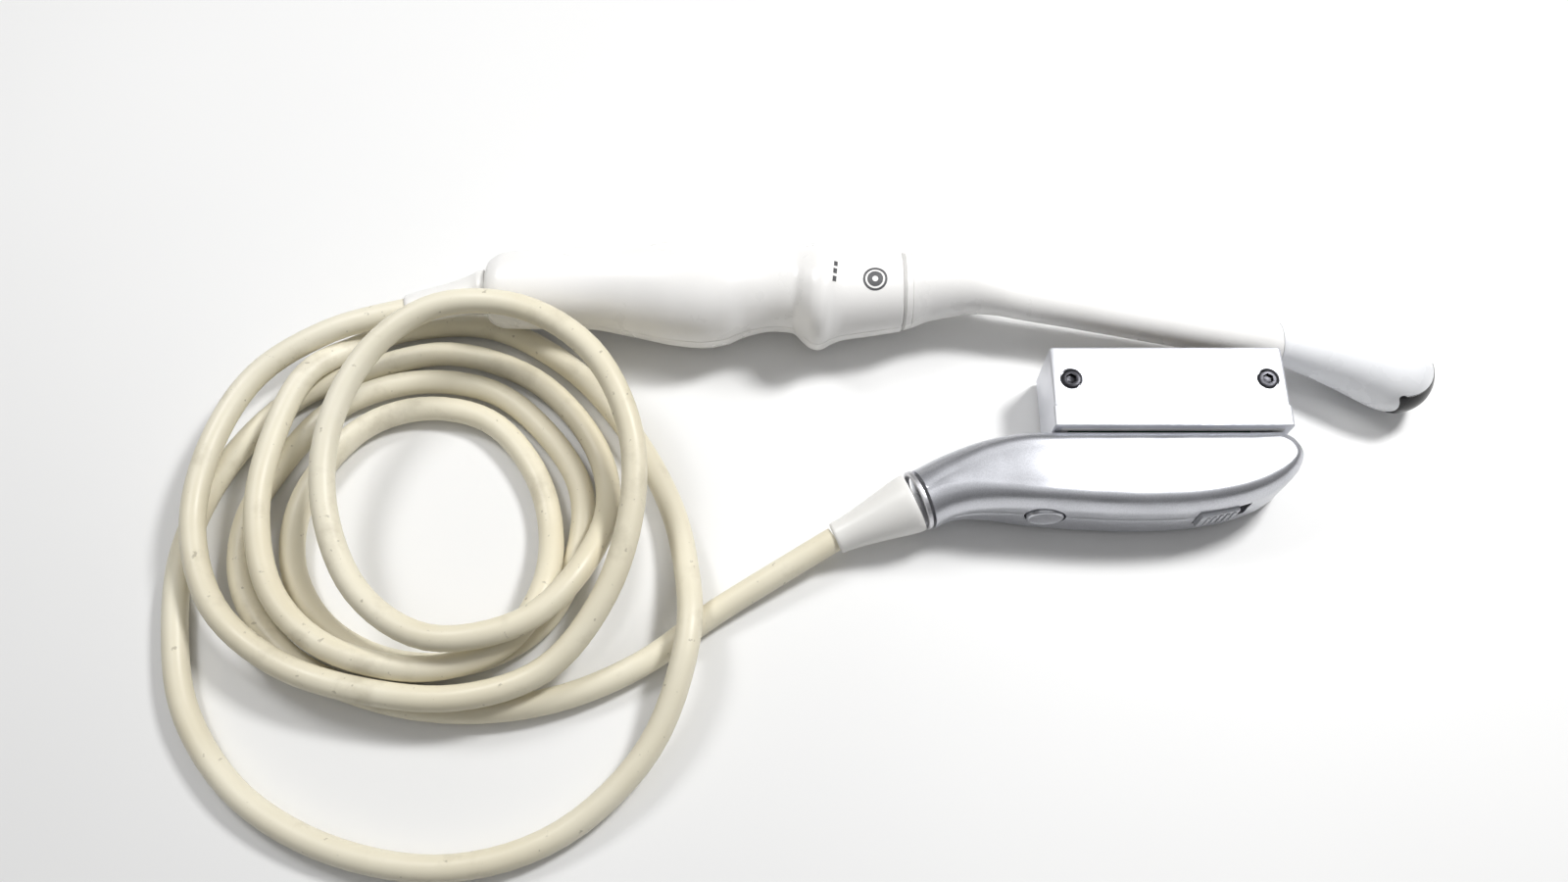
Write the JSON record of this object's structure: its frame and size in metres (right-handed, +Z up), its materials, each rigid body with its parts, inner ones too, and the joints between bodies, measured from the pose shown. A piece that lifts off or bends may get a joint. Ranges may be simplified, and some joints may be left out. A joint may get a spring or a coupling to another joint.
{
  "type": "endocavity ultrasound transducer",
  "caption": "Slim handheld probe with angled insertion tube and curved-array tip, a free cable in loose loops and a compact plug-in system connector.",
  "frame": {"origin": "bottom centre of the probe's own box (handle, tube, head and handle boot), on the surface that it lies on; the cable and connector are left out of that box", "axes": "+X along the handle from its boot towards the tip, +Y away from the connector, +Z up from the surface"},
  "size_m": [0.3781, 0.1884, 0.0345],
  "materials": {
    "white_shell": "satin moulded white",
    "head_white": "smooth cool white",
    "lens_black": "glossy silicone",
    "seal_grey": "soft silicone",
    "boot_white": "satin moulded",
    "cable_ivory": "aged satin jacket",
    "silver_cover": "satin metallic paint on plastic",
    "nose_metal": "blasted",
    "black_steel": "black oxide",
    "steel": "plain",
    "slider_grey": "ribbed",
    "insulator": "moulded",
    "gold": "gold plated",
    "board_green": "solder mask",
    "chip_black": "moulded",
    "socket_beige": "moulded",
    "wire_grey": "braided and jacketed",
    "flex_amber": "polyimide film",
    "chassis_grey": "moulded",
    "ceramic_tan": "fired ceramic and filled epoxy",
    "backing_dark": "filled epoxy"
  },
  "bodies": {
    "probe": {"handle_upper_shell": "white_shell", "handle_lower_shell": "white_shell", "seam_ring": "seal_grey", "guide_tab": "white_shell", "insertion_tube": "white_shell", "head_shell": "head_white", "acoustic_lens": "lens_black", "matching_layer": "ceramic_tan", "piezo_array": "ceramic_tan", "backing_block": "backing_dark", "array_flex": "flex_amber", "shield_tube": "steel", "coax_harness": "wire_grey", "handle_chassis": "chassis_grey", "handle_board": "board_green", "board_sockets": "socket_beige", "chassis_screws": "steel", "handle_wires": "wire_grey", "handle_clamp": "steel", "handle_boot": "boot_white", "cable": "cable_ivory", "connector_boot": "boot_white", "neck_ring": "steel", "connector_upper_cover": "silver_cover", "connector_lower_cover": "silver_cover", "nose_housing": "nose_metal", "nose_gasket": "seal_grey", "nose_screws": "black_steel", "contact_block": "insulator", "contact_pads": "gold", "connector_board": "board_green", "board_chips": "chip_black", "board_screws": "steel", "case_screws": "black_steel", "connector_clamp": "steel", "connector_wires": "wire_grey", "button_spring": "steel"},
    "button": {"release_button": "silver_cover"},
    "slider": {"lock_slider": "slider_grey", "lock_hook": "steel"}
  },
  "joints": [
    {"name": "button_press", "type": "slide", "parent": "probe", "child": "button", "axis": [0, 1, 0], "range_m": [0, 0.0015], "stiffness_N_per_m": 900, "springref_m": -0.0008, "deforming": ["button_spring"]},
    {"name": "lock_slide", "type": "slide", "parent": "probe", "child": "slider", "axis": [0.9744, 0.225, 0], "range_m": [0, 0.003]}
  ]
}
